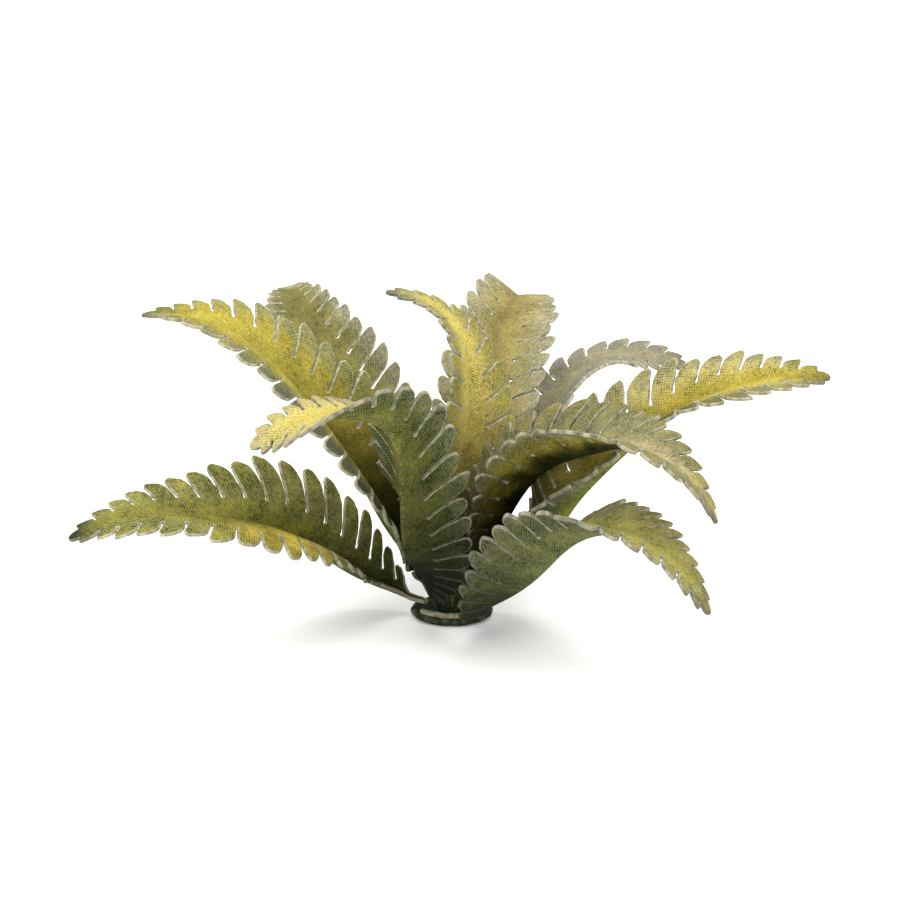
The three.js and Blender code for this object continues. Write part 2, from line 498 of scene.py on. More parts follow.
@dataclass(frozen=True)
class CardCut:
    """How every frond is cut from the card and folded.

    Attributes:
        thickness: The card's thickness.
        break_in: How far in from the cut the card's edge is broken.
        break_down: How far down that breaking goes.
        stalk_half_width: Half the bare stalk's width.
        stalk_share: The stalk's share of the frond.
        tab: How far the stalk runs on below its fold, where it is glued.
        seat_drop: How far the foot end sits below the midrib's start.
        seat_run: How far up the stalk that drop is spread.
        packed_half: Half the card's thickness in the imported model.
        packed_gap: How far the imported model's stalks stand above the foot.
        pitch_swell: How much closer the leaflets are near the ends.
        slit: The cut's width.
        dot: The radius of the round end of each cut.
        dot_clear: How far from a cut's root a leaflet's side starts, in radii of the dot.
        web_share: The uncut share of the half blade.
        tip_web_share: The same at the frond's tip, where the cuts are shallow.
        tip_web_start: Where along the frond they start to be shallower.
        lean: How far the leaflets lean to the tip, per length out.
        hook: How far their ends curve on to the tip, as a share of their half width.
        apex: Where their ends are highest, as a share of their half width.
        near_round: How blunt their nearer corner is.
        near_curve: How straight their nearer side is.
        far_round: How square their far corner is.
        ragged: How uneven the cut is.
        near_steps: Where the points of the nearer side are, as shares out from the uncut card.
        far_steps: The same for the far side, from its end back in.
        size_spread: How much the leaflets' lengths vary.
        apex_shift: How much their highest place varies with that.
        curl: How far their ends curl up on average, and how much that varies.
        curl_power: How much of the curl is near their ends.
        twist: How far their sides twist on average, and how much that varies.
        tail: The length of the bare tail at the tip.
        tail_steps: The tail's half widths, each as a share of its length and of its width.
        widest_place: Sets where the blade is widest.
        fullness: How full its outline is.
        cup_relaxing: How much flatter the fold is at the margin.
        fold_radius: How round the fold is.
        shortest: The shortest step round a leaflet.
        longest: The longest step along the outline.
        grid: The spacing of points inside the blade.
        fold_rows: How far the closer rows of points beside the fold are from it.
        rim_clear: How far the points inside stay from the outline.
    """

    thickness: float = 0.4
    break_in: float = 0.1
    break_down: float = 0.07
    stalk_half_width: float = 0.6
    stalk_share: float = 0.05
    tab: float = 0.8
    seat_drop: float = 0.4
    seat_run: float = 5.0
    packed_half: float = 0.3
    packed_gap: float = 0.3
    pitch_swell: float = 0.18
    slit: float = 0.16
    dot: float = 0.15
    dot_clear: float = 1.4
    web_share: float = 0.42
    tip_web_share: float = 0.62
    tip_web_start: float = 0.6
    lean: float = 0.5
    hook: float = 0.04
    apex: float = 0.3
    near_round: float = 5.0
    near_curve: float = 0.5
    far_round: float = 7.0
    ragged: float = 0.026
    near_steps: tuple[float, ...] = (0.15, 0.32, 0.48, 0.62, 0.74, 0.83, 0.9, 0.95, 0.985)
    far_steps: tuple[float, ...] = (0.999, 0.98, 0.945, 0.89, 0.8, 0.62, 0.4, 0.18)
    size_spread: float = 0.03
    apex_shift: float = 6.0
    curl: tuple[float, float] = (0.03, 0.09)
    curl_power: float = 1.6
    twist: tuple[float, float] = (0.1, 0.05)
    tail: float = 1.2
    tail_steps: tuple[tuple[float, float], ...] = (
        (0.0, 1.0), (0.35, 0.93), (0.6, 0.82), (0.8, 0.62), (0.93, 0.36),
    )
    widest_place: float = 0.62
    fullness: float = 0.85
    cup_relaxing: float = 0.3
    fold_radius: float = 0.22
    shortest: float = 0.13
    longest: float = 0.42
    grid: float = 0.5
    fold_rows: tuple[float, ...] = (0.0, 0.12, 0.26, 0.45)
    rim_clear: float = 0.2


@dataclass
class Frond:
    """One frond: its cut, its bend and its print.

    Attributes:
        node: The CAD node it stands for.
        slot: A material slot's name; not used.
        foot: Where its midrib starts on the foot.
        length: The midrib's length.
        half_width: Half the blade's width at its widest.
        leaflets: How many leaflets there are down each half.
        rise: The midrib's angle above level, in even steps from the foot to the tip.
        bearing: Its bearing from +X towards +Y.
        roll: The blade's roll about it.
        cup: How far the fold lifts each half.
        upper: The print on the side that the fold opens to.
        under: The print on the other side.
        edge: The bare card along its cuts.
        cut: How it is cut and folded.
        steps: The midrib's steps.
    """

    node: str
    slot: Slot
    foot: tuple[float, float]
    length: float
    half_width: float
    leaflets: int
    rise: tuple[float, ...]
    bearing: tuple[float, ...]
    roll: tuple[float, ...]
    cup: tuple[float, ...]
    upper: CardPrint
    under: CardPrint
    edge: CutEdge = field(default_factory=CutEdge)
    cut: CardCut = field(default_factory=CardCut)
    steps: int = 180

    def __post_init__(self) -> None:
        """Works out the midrib, the slits and how each leaflet is set."""
        self.random = np.random.default_rng(sum(map(ord, self.node)))
        cut, share = self.cut, np.linspace(0.0, 1.0, self.steps + 1)
        rows = (self.rise, self.bearing, self.roll)
        rise, bearing, roll = (np.radians(along(row, share)) for row in rows)
        level = np.cos(rise)
        self.forward = np.stack([level * np.cos(bearing), level * np.sin(bearing), np.sin(rise)], axis=1)
        flat_side = np.stack([np.sin(bearing), -np.cos(bearing), 0 * bearing], axis=1)
        lift = np.cross(flat_side, self.forward)
        self.side = flat_side * np.cos(roll)[:, None] + lift * np.sin(roll)[:, None]
        self.up = np.cross(self.side, self.forward)
        heading = (self.forward[1:] + self.forward[:-1]) / 2
        start = np.array([[*self.foot, 0.0]])
        after = start + np.cumsum(heading, axis=0) * self.length / self.steps
        self.place = np.concatenate([start, after])
        self.place[:, 2] += self.seat_height()
        count = self.leaflets
        even = np.linspace(0.0, 1.0, count + 1)
        even = even - cut.pitch_swell * np.sin(2 * np.pi * even) / (2 * np.pi)
        start_u = cut.stalk_share * self.length
        self.slits = start_u + (self.length - cut.tail - start_u) * even
        self.curls = {hand: self.random.normal(*cut.curl, count + 1) for hand in (1, -1)}
        self.twists = {hand: self.random.normal(*cut.twist, count + 1) for hand in (1, -1)}
        self.sizes = {hand: self.random.normal(1.0, cut.size_spread, count + 1) for hand in (1, -1)}

    def seat_height(self) -> float:
        """Gives the height of the midrib's start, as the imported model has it.

        Returns:
            The height, in millimetres.
        """
        half, cup = self.cut.packed_half, math.radians(self.cup[0])
        lean = cup * (1 - self.cut.cup_relaxing)
        heights = []
        for hand in (-1, 0, 1):
            rise = half * (math.cos(lean) if hand else 1 / math.cos(cup))
            shift = hand * half * math.sin(lean)
            reach = self.cut.stalk_half_width
            across = hand * reach * math.cos(lean) + shift
            above = abs(hand) * reach * math.sin(lean) - rise
            heights.append(across * self.side[0][2] + above * self.up[0][2])
        foot_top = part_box("foot_disc")[1][2] / MM
        return foot_top + self.cut.packed_gap - min(heights)

    def half_width_at(self, share: np.ndarray) -> np.ndarray:
        """Gives half the blade's width: a narrow stalk, then a long leaf shape.

        Args:
            share: Places along the frond, from 0 to 1.

        Returns:
            The half width at each place.
        """
        cut = self.cut
        blade = np.clip((share - cut.stalk_share) / (1 - cut.stalk_share), 0.0, 1.0)
        swell = np.clip(np.sin(np.pi * blade**cut.widest_place), 0.0, 1.0) ** cut.fullness
        return cut.stalk_half_width + (self.half_width - cut.stalk_half_width) * swell

    def web_at(self, share: np.ndarray) -> np.ndarray:
        """Gives how far out from the midrib the card is uncut.

        Args:
            share: Places along the frond, from 0 to 1.

        Returns:
            The uncut width of one half at each place.
        """
        deep, shallow = self.cut.web_share, self.cut.tip_web_share
        uncut = deep + (shallow - deep) * smooth(share, self.cut.tip_web_start, 1.0)
        return self.half_width_at(share) * uncut

    def sheet(self, flat: np.ndarray) -> np.ndarray:
        """Bends points of the flat card onto the middle of the finished card.

        Args:
            flat: Points along and across the flat card.

        Returns:
            The same points in space.
        """
        u, v = flat[:, 0], flat[:, 1]
        share = np.clip(u / self.length, 0.0, 1.0)
        place = share * self.steps
        i = np.minimum(np.floor(place).astype(int), self.steps - 1)
        part = (place - i)[:, None]
        past = (u - share * self.length)[:, None]
        tables = (self.forward, self.side, self.up, self.place)
        forward, side, up, at = (rows[i] * (1 - part) + rows[i + 1] * part for rows in tables)
        cup = np.radians(along(self.cup, share))
        reach = np.abs(v)
        lean = cup * (1 - self.cut.cup_relaxing * reach / self.half_width_at(share))
        radius = self.cut.fold_radius
        rounded = np.sqrt(reach**2 + radius**2) - radius
        at = at + unit(forward) * past
        at[:, 2] -= self.cut.seat_drop * (1 - smooth(u, 0.0, self.cut.seat_run))
        at = at + unit(side) * (v * np.cos(lean))[:, None]
        return at + unit(up) * (rounded * np.sin(lean))[:, None]

    def relief(self, flat: np.ndarray) -> np.ndarray:
        """Gives how far each leaflet has curled and twisted off the blade.

        Args:
            flat: Points along and across the flat card.

        Returns:
            The lift at each point.
        """
        hand = np.where(flat[:, 1] >= 0, 1, -1)
        reach = np.abs(flat[:, 1])
        share = np.clip(flat[:, 0] / self.length, 0.0, 1.0)
        width, web = self.half_width_at(share), self.web_at(share)
        out = np.clip((reach - web) / np.maximum(width - web, 0.1), 0.0, 1.1)
        straight = flat[:, 0]
        for _ in range(6):
            root = self.web_at(straight / self.length)
            straight = flat[:, 0] - self.cut.lean * np.maximum(reach - root, 0.0)
        i = np.clip(np.searchsorted(self.slits, straight) - 1, 0, len(self.slits) - 2)
        pitch = self.slits[i + 1] - self.slits[i]
        across = np.clip(2 * (straight - self.slits[i]) / pitch - 1, -1.0, 1.0)
        curl = np.where(hand > 0, self.curls[1][i], self.curls[-1][i])
        twist = np.where(hand > 0, self.twists[1][i], self.twists[-1][i])
        fade = np.minimum(width / self.half_width, 1.0) * (straight > self.slits[0])
        return fade * (curl * out**self.cut.curl_power + twist * across * out)

    def bend(self, flat: np.ndarray, lift: float) -> np.ndarray:
        """Bends points of the flat card and lifts them off its middle.

        Args:
            flat: Points along and across the flat card.
            lift: How far they are lifted.

        Returns:
            The points in space.
        """
        step = 0.02
        ahead, back = self.sheet(flat + [step, 0]), self.sheet(flat - [step, 0])
        left, right = self.sheet(flat + [0, step]), self.sheet(flat - [0, step])
        normal = unit(np.cross(left - right, ahead - back))
        return self.sheet(flat) + normal * (lift + self.relief(flat))[:, None]

    def leaflet(self, i: int, hand: int) -> list[tuple[float, float]]:
        """Draws the leaflet between two slits, from its side nearer the foot round to the other.

        Args:
            i: Which leaflet it is, from the foot.
            hand: 1 for the first half of the blade and -1 for the second.

        Returns:
            Its outline on the flat card.
        """
        cut, start, end = self.cut, self.slits[i], self.slits[i + 1]
        middle, half = (start + end) / 2, (end - start - cut.slit) / 2
        width, web = (float(law(middle / self.length)) for law in (self.half_width_at, self.web_at))
        width *= self.sizes[hand][i]
        roots = [float(self.web_at(slit / self.length)) for slit in (start, end)]
        apex, drawn = cut.apex + cut.apex_shift * (self.sizes[hand][i] - 1), []
        near = [(t, apex - (1 + apex) * (1 - t**cut.near_round) ** cut.near_curve) for t in cut.near_steps]
        far = [(t, apex + (1 - apex) * (1 - t**cut.far_round) ** 0.5) for t in cut.far_steps]
        for t, across in near + far:
            v = web + (width - web) * t
            root = roots[0] + (roots[1] - roots[0]) * (across + 1) / 2
            if v - root < cut.dot_clear * cut.dot:
                continue
            uneven = self.random.normal(0.0, cut.ragged, 2) * min(1.0, (width - web) / 2)
            u = middle + half * (across + cut.hook * t**3) + cut.lean * (v - root)
            point = (u + float(uneven[0]), v + float(uneven[1]))
            if not drawn or math.dist(point, drawn[-1]) > cut.shortest:
                drawn.append(point)
        return drawn

    def slit_end(self, i: int) -> list[tuple[float, float]]:
        """Draws the round inner end of a slit, from its side nearer the foot to the other.

        Args:
            i: Which slit it is, from the foot.

        Returns:
            Its outline on the flat card.
        """
        cut, at = self.cut, self.slits[i]
        web = float(self.web_at(at / self.length))
        turns = map(math.radians, (155, 195, 232, 270, 308, 345, 25))
        return [(at + cut.dot * math.cos(turn), web + cut.dot * math.sin(turn)) for turn in turns]

    def half_outline(self, hand: int) -> list[tuple[float, float]]:
        """Draws one half of the card from the foot to the tip.

        Args:
            hand: 1 for the first half of the blade and -1 for the second.

        Returns:
            Its outline on the flat card, the second half mirrored.
        """
        cut = self.cut
        drawn = [(-cut.tab, cut.stalk_half_width * 0.8), (0.0, cut.stalk_half_width)]
        drawn.append((self.slits[0], cut.stalk_half_width))
        for i in range(len(self.slits) - 2):
            drawn += self.leaflet(i, hand) + self.slit_end(i + 1)
        drawn += self.leaflet(len(self.slits) - 2, hand)
        last = float(self.slits[-1])
        wide = float(self.web_at(last / self.length))
        for share, part in cut.tail_steps:
            drawn.append((last + (self.length - last) * share, wide * part))
        return [(u, hand * v) for u, v in drawn]

    def outline(self) -> np.ndarray:
        """Draws the whole card's outline in short steps.

        Returns:
            The outline's points on the flat card, anticlockwise.
        """
        corners = self.half_outline(-1) + [(self.length, 0.0)] + self.half_outline(1)[::-1]
        drawn: list[np.ndarray] = []
        for a, b in zip(corners, corners[1:] + corners[:1]):
            a, b = np.array(a), np.array(b)
            count = max(1, math.ceil(np.linalg.norm(b - a) / self.cut.longest))
            drawn += [a + (b - a) * k / count for k in range(count)]
        return np.array(drawn)

    @staticmethod
    def inset(outline: np.ndarray, amount: float) -> np.ndarray:
        """Moves an anticlockwise outline inwards.

        Args:
            outline: The outline's points.
            amount: How far it moves.

        Returns:
            The inner outline, point for point.
        """
        before = unit(outline - np.roll(outline, 1, axis=0))
        after = unit(np.roll(outline, -1, axis=0) - outline)
        inward = unit(np.stack([-before[:, 1] - after[:, 1], before[:, 0] + after[:, 0]], axis=1))
        square_in = np.stack([-before[:, 1], before[:, 0]], axis=1)
        sharpest = 0.7
        corner = np.clip((inward * square_in).sum(axis=1), sharpest, 1.0)
        return outline + inward * (amount / corner)[:, None]

    def inner_points(self, outline: np.ndarray) -> np.ndarray:
        """Spreads points over the card, clear of its outline, in rows that follow the fold.

        Args:
            outline: The outline that they stay clear of.

        Returns:
            The points.
        """
        pitch = self.cut.grid
        us = np.arange(-self.cut.tab + pitch / 2, self.length, pitch)
        folds = np.array(self.cut.fold_rows)
        vs = np.concatenate([folds, np.arange(folds[-1] + pitch, self.half_width, pitch)])
        vs = np.concatenate([-vs[:0:-1], vs])
        spots = np.array([(u, v) for u in us for v in vs])
        off = np.linalg.norm(spots[:, None, :] - outline[None, :, :], axis=2).min(axis=1)
        wide = self.half_width_at(np.clip(spots[:, 0] / self.length, 0, 1))
        return spots[(off > self.cut.rim_clear) & (np.abs(spots[:, 1]) < wide)]

    def triangles(self, rim: np.ndarray, inner: np.ndarray) -> np.ndarray:
        """Fills the card's outline with triangles.

        Args:
            rim: The outline's points, anticlockwise.
            inner: The points inside it.

        Returns:
            Rows of three indices into the outline's points and then the inner ones.
        """
        spots = [Vector(p) for p in np.concatenate([rim, inner])]
        edges = [(i, (i + 1) % len(rim)) for i in range(len(rim))]
        _, _, faces, points_from, _, faces_from = delaunay_2d_cdt(
            spots, edges, [list(range(len(rim)))], 1, 1e-6, True
        )
        first = [origin[0] if origin else -1 for origin in points_from]
        made = np.array([[first[k] for k in face] for face, origin in zip(faces, faces_from) if origin])
        return made[(made >= 0).all(axis=1)]

    def shares(self, flat: np.ndarray) -> np.ndarray:
        """Gives each flat point's share along the frond and across its half."""
        share = np.clip(flat[:, 0] / self.length, 0.0, 1.0)
        return np.stack([share, flat[:, 1] / self.half_width_at(share), 0 * share], axis=1)

    def build(self) -> bpy.types.Object:
        """Builds the frond's card, prints it and sets it in place of its CAD node.

        Returns:
            The finished piece.
        """
        rim = self.outline()
        shoulder = self.inset(rim, self.cut.break_in)
        inner = self.inner_points(shoulder)
        faces = self.triangles(shoulder, inner)
        inside = np.concatenate([shoulder, inner])
        half = self.cut.thickness / 2
        low = half - self.cut.break_down
        layers = [
            self.bend(inside, half),
            self.bend(inside, -half),
            self.bend(rim, low),
            self.bend(rim, -low),
        ]
        flats = np.concatenate([inside, inside, rim, rim])
        n_in, n = len(inside), len(rim)
        a = np.arange(n)
        b = (a + 1) % n
        upper, under, top, bottom = 0, n_in, 2 * n_in, 2 * n_in + n
        rings = (upper, top, bottom, under)
        strips = [np.stack([p + b, q + b, q + a, p + a], axis=1) for p, q in zip(rings, rings[1:])]
        polygons = [[int(upper + k) for k in face[::-1]] for face in faces]
        polygons += [[int(under + k) for k in face] for face in faces]
        polygons += [list(map(int, quad)) for strip in strips for quad in strip]
        slots = [Side.UPPER.value] * len(faces) + [Side.UNDER.value] * len(faces)
        slots += [Side.CUT.value] * (len(strips) * n)
        name = self.node.replace("frond_", "card_")
        piece = card_piece(name, np.concatenate(layers), polygons, slots)
        store(piece.data, MM_PLACE, np.pad(flats, ((0, 0), (0, 1))))
        store(piece.data, SHARE_PLACE, self.shares(flats))
        finishes = {Side.UPPER: self.upper, Side.UNDER: self.under, Side.CUT: self.edge}
        for side, finish in finishes.items():
            piece.data.materials.append(finish.material(f"{piece.name}_{side.name.lower()}"))
        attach(piece, "root")
        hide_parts(self.node)
        return piece


def card_piece(
    name: str, points: np.ndarray, polygons: list[list[int]], slots: list[int]
) -> bpy.types.Object:
    """Makes a piece from its points and faces.

    Args:
        name: The piece's name.
        points: Its points, in millimetres.
        polygons: Its faces.
        slots: Each face's material slot.

    Returns:
        The piece, linked to the scene.
    """
    mesh = bpy.data.meshes.new(name)
    mesh.from_pydata((points * MM).tolist(), [], polygons)
    mesh.polygons.foreach_set("material_index", slots)
    mesh.polygons.foreach_set("use_smooth", [True] * len(polygons))
    mesh.validate()
    mesh.set_sharp_from_angle(angle=math.radians(CREASE))
    piece = bpy.data.objects.new(name, mesh)
    bpy.context.scene.collection.objects.link(piece)
    return piece


def store(mesh: bpy.types.Mesh, name: str, rows: np.ndarray) -> None:
    """Stores a vector at each of a mesh's points.

    Args:
        mesh: The mesh.
        name: The stored vector's name.
        rows: One row of three numbers for each point.
    """
    stored = mesh.attributes.new(name, "FLOAT_VECTOR", "POINT")
    stored.data.foreach_set("vector", rows.astype(np.float32).ravel())


@dataclass(frozen=True)
class FootPaint:
    """The foot's dark printed card and its dull cut rim.

    Attributes:
        top: The printed top's colour.
        rim: The cut rim's colour.
        worn: Where the rim is worn.
    """

    top: str = "14170b"
    rim: str = "262819"
    worn: str = "55584a"

    def material(self, name: str) -> bpy.types.Material:
        """Makes the foot's material.

        Args:
            name: The material's name.

        Returns:
            The material.
        """
        bench = Bench(name)
        place = bench.read(MM_PLACE)
        height, out, _ = bench.parts(bench.read(SHARE_PLACE))
        marks = bench.noise(place, 1.1, 4.0)
        fibre = bench.noise(place, 8.0, 3.0)
        colour = bench.blend(bench.rise(out, 0.86, 0.98), paint(self.top), paint(self.rim))
        worn = bench.maths("MULTIPLY", bench.rise(marks, 0.45, 0.7), bench.rise(out, 0.85, 1.0))
        colour = bench.blend(worn, colour, paint(self.worn))
        colour = bench.shade(colour, bench.maths("ADD", 0.7, bench.maths("MULTIPLY", fibre, 0.6)))
        # Darker towards the sole: painted shade under the bulging side.
        low = bench.maths("ADD", 0.75, bench.maths("MULTIPLY", height, 0.25))
        colour = bench.shade(colour, low)
        return bench.coat(colour, 0.85, bench.bump(fibre, 0.05, 0.6), 0.08)


@dataclass
class Foot:
    """The round foot: a flat sole, a bulging side and a top that rises a little to its middle.

    Attributes:
        radius: The radius where the side bulges most.
        sole_radius: The sole's radius.
        top_radius: The top's radius.
        height: The height of the top's rim.
        crown: How much higher the top's middle is.
        sides: How many sides stand for the round.
        side_steps: How many steps the bulging side is built in.
        top_rings: The rings of points on the top, as shares of its radius.
        wobble: How far from round the foot is, in parts of its radius.
        finish: Its paint.
    """

    radius: float = 4.2
    sole_radius: float = 3.6
    top_radius: float = 3.9
    height: float = 0.9
    crown: float = 0.02
    sides: int = 96
    side_steps: int = 8
    top_rings: tuple[float, ...] = (0.96, 0.85, 0.65, 0.4, 0.18)
    wobble: float = 0.012
    finish: FootPaint = field(default_factory=FootPaint)

    def profile(self) -> list[tuple[float, float]]:
        """Draws the side from the sole's middle to the top's middle.

        Returns:
            Its points, each as a radius and a height.
        """
        pull = 2 * self.radius - (self.sole_radius + self.top_radius) / 2
        side = []
        for t in (k / self.side_steps for k in range(self.side_steps + 1)):
            radius = (1 - t) ** 2 * self.sole_radius + 2 * t * (1 - t) * pull + t * t * self.top_radius
            side.append((radius, self.height * t))
        sole = [(self.sole_radius * k, 0.0) for k in (0.3, 0.7)]
        top = [(self.top_radius * k, self.height + self.crown * (1 - k)) for k in self.top_rings]
        return sole + side + top

    def build(self) -> bpy.types.Object:
        """Builds the foot and sets it in place of its CAD node.

        Returns:
            The finished piece.
        """
        random = np.random.default_rng(7)
        turns = np.arange(self.sides) * 2 * math.pi / self.sides
        uneven = sum(
            self.wobble * np.sin(k * turns + random.uniform(0, 6.3)) / (k / 3) ** 0.5 for k in (3, 5, 8, 13)
        )
        points, shares = [(0.0, 0.0, 0.0)], [(0.0, 0.0, 0.0)]
        for radius, height in self.profile():
            for turn, off in zip(turns, uneven):
                grown = radius * (1 - abs(off))
                points.append((grown * math.cos(turn), grown * math.sin(turn), height))
                shares.append((height / self.height, radius / self.radius, 0.0))
        points.append((0.0, 0.0, self.height + self.crown))
        shares.append((1.0, 0.0, 0.0))
        rings, n = len(self.profile()), self.sides
        polygons = [[0, 1 + (k + 1) % n, 1 + k] for k in range(n)]
        for r in range(rings - 1):
            low, high = 1 + r * n, 1 + (r + 1) * n
            for k in range(n):
                beside = (k + 1) % n
                polygons.append([low + k, low + beside, high + beside, high + k])
        last = 1 + (rings - 1) * n
        polygons += [[last + k, last + (k + 1) % n, len(points) - 1] for k in range(n)]
        piece = card_piece("foot_round", np.array(points), polygons, [0] * len(polygons))
        store(piece.data, MM_PLACE, np.array(points))
        store(piece.data, SHARE_PLACE, np.array(shares))
        piece.data.materials.append(self.finish.material("foot_round_card"))
        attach(piece, "root")
        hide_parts("foot_disc")
        return piece


@dataclass
class GluedStrip:
    """A strip of bare card glued round the front of the foot, with its end turned up.

    Attributes:
        radius: The middle of the strip, from the foot's axis.
        start: Where it starts, in degrees from +X towards +Y.
        end: Where it ends.
        breadth: The strip's breadth, out from the axis.
        thickness: The card's thickness.
        turn_up: How high its last part rises.
        glue: How far it is sunk into the glue on the foot.
        broken: How far the card's edges are broken.
        wander: How far the strip wanders from its circle.
        crowding: How closely the marks on its card are crowded along it.
        girth_step: The spacing of the marks from corner to corner round it.
        steps: How many steps it is built in.
        edge: The bare card's finish.
    """

    radius: float = 3.62
    start: float = 214.0
    end: float = 294.0
    breadth: float = 0.62
    thickness: float = 0.4
    turn_up: float = 0.6
    glue: float = 0.02
    broken: float = 0.07
    wander: float = 0.03
    crowding: float = 4.0
    girth_step: float = 0.3
    steps: int = 72
    edge: CutEdge = CutEdge(pale="8f8c74", grey="5f5f4b", shadow="7a7866")

    def build(self, foot: Foot) -> bpy.types.Object:
        """Builds the strip on the foot.

        Args:
            foot: The foot that carries it.

        Returns:
            The finished piece.
        """
        random = np.random.default_rng(12)
        share = np.linspace(0.0, 1.0, self.steps + 1)
        turn = np.radians(self.start + (self.end - self.start) * share)
        waves = random.uniform(0, 2 * math.pi, 3)
        wander = sum(self.wander * np.sin(k * math.pi * share + wave) for k, wave in zip((3, 5, 8), waves))
        start_taper, end_taper = np.clip(1 - share / 0.08, 0, 1), np.clip((share - 0.93) / 0.07, 0, 1)
        half_breadth = self.breadth / 2 * (1 - 0.35 * start_taper - 0.3 * end_taper)
        rise = self.turn_up * np.clip((share - 0.8) / 0.2, 0, 1) ** 1.6
        base = foot.height + foot.crown - self.glue + rise
        ring = []
        for side, level in ((-1, 0), (1, 0), (1, 1), (-1, 1)):
            corner = [(self.broken, 0.0), (0.0, self.broken)]
            for cut_side, cut_level in corner if side * (1 - 2 * level) > 0 else corner[::-1]:
                reach = self.radius + wander + side * (half_breadth - cut_side)
                height = base + (self.thickness - cut_level if level else cut_level)
                ring.append(np.stack([reach * np.cos(turn), reach * np.sin(turn), height], axis=1))
        rows = np.stack(ring, axis=1)
        points = rows.reshape(-1, 3)
        n = rows.shape[1]
        polygons = []
        for here, there in ((r * n, (r + 1) * n) for r in range(self.steps)):
            for k in range(n):
                beside = (k + 1) % n
                polygons.append([here + k, there + k, there + beside, here + beside])
        polygons += [list(range(n)), [self.steps * n + k for k in range(n)][::-1]]
        piece = card_piece("glued_strip", points, polygons, [0] * len(polygons))
        lengthways = np.repeat(share * self.radius * self.crowding, n)
        round_it = np.tile(np.arange(n) * self.girth_step, self.steps + 1)
        none = 0 * lengthways
        store(piece.data, MM_PLACE, np.stack([lengthways, round_it, none], axis=1))
        # These shares give the strip's first half the edge's painted shade, fading out along it.
        store(piece.data, SHARE_PLACE, np.stack([np.repeat(0.2 + 0.6 * share, n), none, none], axis=1))
        piece.data.materials.append(self.edge.material("glued_strip_card"))
        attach(piece, "root")
        return piece


@dataclass
class Studio:
    """The plain white table, the soft light and the camera.

    Attributes:
        elevation: The camera's height above level.
        distance: How far the camera is from the fern.
        lens: The camera's focal length on a sensor 36 wide.
        aim: The point that it looks at.
        sky: How bright the white room is.
        exposure: The picture's exposure, in stops.
        table: The table's colour.
        table_half: Half the table's side.
    """

    elevation: float = 16.0
    distance: float = 320.0
    lens: float = 128.0
    aim: tuple[float, float, float] = (-0.2, 0.0, 17.37)
    sky: float = 0.9
    exposure: float = 0.75
    table: str = "f7f7f6"
    table_half: float = 900.0

    def lay_table(self) -> bpy.types.Object:
        """Lays the table, which isn't part of the fern.

        Returns:
            The table.
        """
        half = self.table_half * MM
        mesh = bpy.data.meshes.new("table")
        corners = [(-half, -half, 0), (half, -half, 0), (half, half, 0), (-half, half, 0)]
        mesh.from_pydata(corners, [], [(0, 1, 2, 3)])
        table = bpy.data.objects.new("table", mesh)
        bpy.context.scene.collection.objects.link(table)
        bench = Bench("table_white")
        place = bench.node("TexCoord", {}).outputs["Object"]
        tone = bench.maths("ADD", 0.99, bench.maths("MULTIPLY", bench.noise(place, 30.0), 0.02))
        white = bench.shade(bench.blend(0.0, paint(self.table), paint(self.table)), tone)
        relief = bench.bump(bench.noise(place, 900.0), 0.02, 0.1)
        mesh.materials.append(bench.coat(white, 0.7, relief, 0.2))
        return table

    def light(self) -> None:
        """Hangs two large soft lamps in a white room, one over the fern and one in front of it."""
        world = bpy.data.worlds.new("white_room")
        world.use_nodes = True
        background = world.node_tree.nodes["Background"]
        background.inputs[0].default_value = (1.0, 1.0, 1.0, 1.0)
        background.inputs[1].default_value = self.sky
        bpy.context.scene.world = world
        for name, place, size, power in (
            ("lamp_over", (-40.0, -60.0, 460.0), 460.0, 0.8),
            ("lamp_front", (-200.0, -360.0, 300.0), 320.0, 0.3),
        ):
            data = bpy.data.lights.new(name, "AREA")
            data.shape = "DISK"
            data.size = size * MM
            data.energy = power
            lamp = bpy.data.objects.new(name, data)
            lamp.location = Vector(place) * MM
            middle = Vector((0, 0, 12)) * MM
            lamp.rotation_euler = (middle - lamp.location).to_track_quat("-Z", "Y").to_euler()
            bpy.context.scene.collection.objects.link(lamp)

    def set_camera(self) -> bpy.types.Object:
        """Sets the camera at the photograph's angle.

        Returns:
            The camera.
        """
        data = bpy.data.cameras.new("photo_camera")
        data.sensor_width = 36.0
        data.lens = self.lens
        data.clip_start, data.clip_end = 0.01, 20.0
        camera = bpy.data.objects.new("photo_camera", data)
        tilt = math.radians(self.elevation)
        back = Vector((0.0, -math.cos(tilt), math.sin(tilt)))
        camera.location = (Vector(self.aim) + back * self.distance) * MM
        camera.rotation_euler = (math.radians(90 - self.elevation), 0.0, 0.0)
        bpy.context.scene.collection.objects.link(camera)
        bpy.context.scene.camera = camera
        bpy.context.scene.view_settings.view_transform = "Standard"
        bpy.context.scene.view_settings.exposure = self.exposure
        return camera


LOW_LEFT_UPPER = CardPrint(
    rib="737034", blade="6f6c40", margin="79743f", base="2b2f11", tip="2c2f24",
    base_share=0.42, ink=0.75,
    patches=(
        Patch("b9a244", (0.5, 0.28), (-0.6, 0.7), 0.85),
        Patch("716938", (0.72, 0.2), (0.1, 0.5), 0.7),
    ),
)
HIGH_LEFT_UPPER = CardPrint(
    rib="988b3e", blade="938439", margin="838052", base="20280d", tip="676435",
    rib_share=0.45, base_share=0.68, mottle=0.5, ink=0.4,
    patches=(
        Patch("555b4e", (0.6, 0.45), (-0.85, 0.65), 0.9),
    ),
)
BACK_LEFT_UPPER = CardPrint(
    rib="676037", blade="69643a", margin="7b7660", base="27270e", tip="8a8a70",
    mottle=0.6, ink=0.45,
)
FRONT_UPPER = CardPrint(
    rib="a89a52", blade="a5985a", margin="9c8f66", base="26260f", tip="988e62",
    mottle=0.35, ink=0.5,
)
